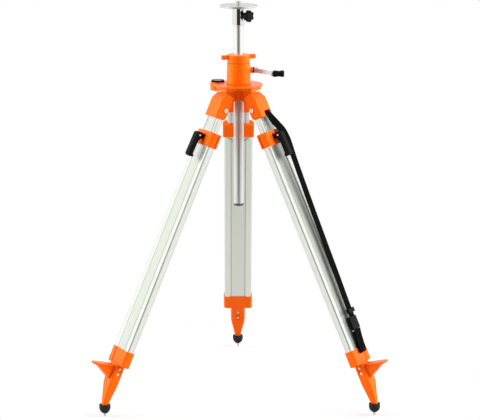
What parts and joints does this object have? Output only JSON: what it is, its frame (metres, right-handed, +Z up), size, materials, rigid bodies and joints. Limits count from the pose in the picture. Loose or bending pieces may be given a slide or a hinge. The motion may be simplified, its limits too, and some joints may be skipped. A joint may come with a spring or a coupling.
{
  "type": "elevating tripod",
  "caption": "Survey tripod with a crank-raised mast, round instrument plate with a stud, level, splayed telescopic legs with clamp levers, treadle shoes and a carry strap.",
  "frame": {"origin": "on the floor under the mast's axis", "axes": "+Z up along the mast, -Y toward the viewer, +X to the viewer's right, on the crank's side"},
  "size_m": [0.9418, 0.8182, 1.299],
  "materials": {
    "orange_casting": "gloss",
    "leg_aluminium": "satin",
    "polished_steel": "polished",
    "plain_steel": "satin",
    "black_plastic": "satin",
    "nylon": "matte",
    "level_glass": "polished",
    "black_webbing": "matte",
    "black_rubber": "matte"
  },
  "bodies": {
    "hub": {"gear_housing": "orange_casting", "clamp_collet": "nylon", "guide_bush": "nylon", "hub_casting": "orange_casting", "hinge_pins": "plain_steel", "level_body": "black_plastic", "level_glass": "level_glass"},
    "column_ring": {"column_clamp_ring": "orange_casting"},
    "mast": {"mast_tube": "polished_steel", "mast_rack": "plain_steel", "mast_end_plug": "black_plastic"},
    "crank": {"crank_shaft": "plain_steel", "drive_pinion": "plain_steel", "crank_arm": "leg_aluminium"},
    "grip": {"crank_grip": "black_plastic"},
    "head": {"head_plate": "leg_aluminium", "instrument_stud": "polished_steel", "head_sleeve": "polished_steel"},
    "knob": {"head_knob": "black_plastic", "head_knob_screw": "plain_steel"},
    "left_upper": {"left_yoke": "orange_casting", "left_inner_profile": "leg_aluminium", "left_yoke_screws": "plain_steel", "left_slide_block": "nylon"},
    "left_lower": {"left_outer_profile": "leg_aluminium", "left_clamp_collar": "orange_casting", "left_clamp_pad": "black_plastic", "left_lever_pin": "plain_steel", "left_shoe": "orange_casting", "left_spike": "plain_steel"},
    "left_lever": {"left_clamp_lever": "black_plastic"},
    "left_foot": {"left_rubber_foot": "black_rubber"},
    "right_upper": {"right_yoke": "orange_casting", "right_inner_profile": "leg_aluminium", "right_yoke_screws": "plain_steel", "right_slide_block": "nylon"},
    "right_lower": {"right_outer_profile": "leg_aluminium", "right_clamp_collar": "orange_casting", "right_clamp_pad": "black_plastic", "right_lever_pin": "plain_steel", "right_shoe": "orange_casting", "right_spike": "plain_steel", "carry_strap": "black_webbing", "strap_slider": "black_plastic", "strap_buckle": "black_plastic", "strap_tab": "black_webbing"},
    "right_lever": {"right_clamp_lever": "black_plastic"},
    "right_foot": {"right_rubber_foot": "black_rubber"},
    "rear_upper": {"rear_yoke": "orange_casting", "rear_inner_profile": "leg_aluminium", "rear_yoke_screws": "plain_steel", "rear_slide_block": "nylon"},
    "rear_lower": {"rear_outer_profile": "leg_aluminium", "rear_clamp_collar": "orange_casting", "rear_clamp_pad": "black_plastic", "rear_lever_pin": "plain_steel", "rear_shoe": "orange_casting", "rear_spike": "plain_steel"},
    "rear_lever": {"rear_clamp_lever": "black_plastic"},
    "rear_foot": {"rear_rubber_foot": "black_rubber"}
  },
  "joints": [
    {"name": "mast_slide", "type": "slide", "parent": "hub", "child": "mast", "axis": [0, 0, 1], "range_m": [-0.09, 0.24]},
    {"name": "crank_turn", "type": "hinge", "parent": "hub", "child": "crank", "pos_m": [0, 0.02195, 1.074], "axis": [1, 0, 0], "range_deg": [-1850, 700]},
    {"name": "grip_spin", "type": "hinge", "parent": "crank", "child": "grip", "pos_m": [0.125, -0.05805, 1.074], "axis": [1, 0, 0], "continuous": true},
    {"name": "column_ring_turn", "type": "hinge", "parent": "hub", "child": "column_ring", "pos_m": [0, 0, 1.113], "axis": [0, 0, 1], "range_deg": [0, 180]},
    {"name": "head_turn", "type": "hinge", "parent": "mast", "child": "head", "pos_m": [0, 0, 1.25], "axis": [0, 0, 1], "range_deg": [-180, 180]},
    {"name": "head_knob_turn", "type": "hinge", "parent": "head", "child": "knob", "pos_m": [0.02681, -0.0225, 1.253], "axis": [0.766, -0.6428, 0], "range_deg": [0, 540]},
    {"name": "left_fold", "type": "hinge", "parent": "hub", "child": "left_upper", "pos_m": [-0.05915, -0.03415, 0.9565], "axis": [0.5, -0.866, 0], "range_deg": [0, 25.2]},
    {"name": "left_slide", "type": "slide", "parent": "left_upper", "child": "left_lower", "axis": [-0.3687, -0.2129, -0.9048], "range_m": [0, 0.6]},
    {"name": "left_lever_turn", "type": "hinge", "parent": "left_lower", "child": "left_lever", "pos_m": [-0.12912, -0.07455, 0.88179], "axis": [-0.5, 0.866, 0], "range_deg": [0, 95]},
    {"name": "left_foot_slide", "type": "slide", "parent": "left_lower", "child": "left_foot", "axis": [0, 0, -1], "range_m": [0, 0.008]},
    {"name": "right_fold", "type": "hinge", "parent": "hub", "child": "right_upper", "pos_m": [0.05915, -0.03415, 0.9565], "axis": [0.5, 0.866, 0], "range_deg": [0, 25.2]},
    {"name": "right_slide", "type": "slide", "parent": "right_upper", "child": "right_lower", "axis": [0.3687, -0.2129, -0.9048], "range_m": [0, 0.6], "deforming": ["carry_strap"]},
    {"name": "right_lever_turn", "type": "hinge", "parent": "right_lower", "child": "right_lever", "pos_m": [0.12912, -0.07455, 0.88179], "axis": [-0.5, -0.866, 0], "range_deg": [0, 95]},
    {"name": "right_foot_slide", "type": "slide", "parent": "right_lower", "child": "right_foot", "axis": [0, 0, -1], "range_m": [0, 0.008]},
    {"name": "rear_fold", "type": "hinge", "parent": "hub", "child": "rear_upper", "pos_m": [0, 0.0683, 0.9565], "axis": [-1, 0, 0], "range_deg": [0, 25.2]},
    {"name": "rear_slide", "type": "slide", "parent": "rear_upper", "child": "rear_lower", "axis": [0, 0.4258, -0.9048], "range_m": [0, 0.6]},
    {"name": "rear_lever_turn", "type": "hinge", "parent": "rear_lower", "child": "rear_lever", "pos_m": [0, 0.1491, 0.88179], "axis": [1, 0, 0], "range_deg": [0, 95]},
    {"name": "rear_foot_slide", "type": "slide", "parent": "rear_lower", "child": "rear_foot", "axis": [0, 0, -1], "range_m": [0, 0.008]}
  ],
  "couplings": [
    {"joint": "crank_turn", "follows": "mast_slide", "rad_per_m": -133.33}
  ]
}
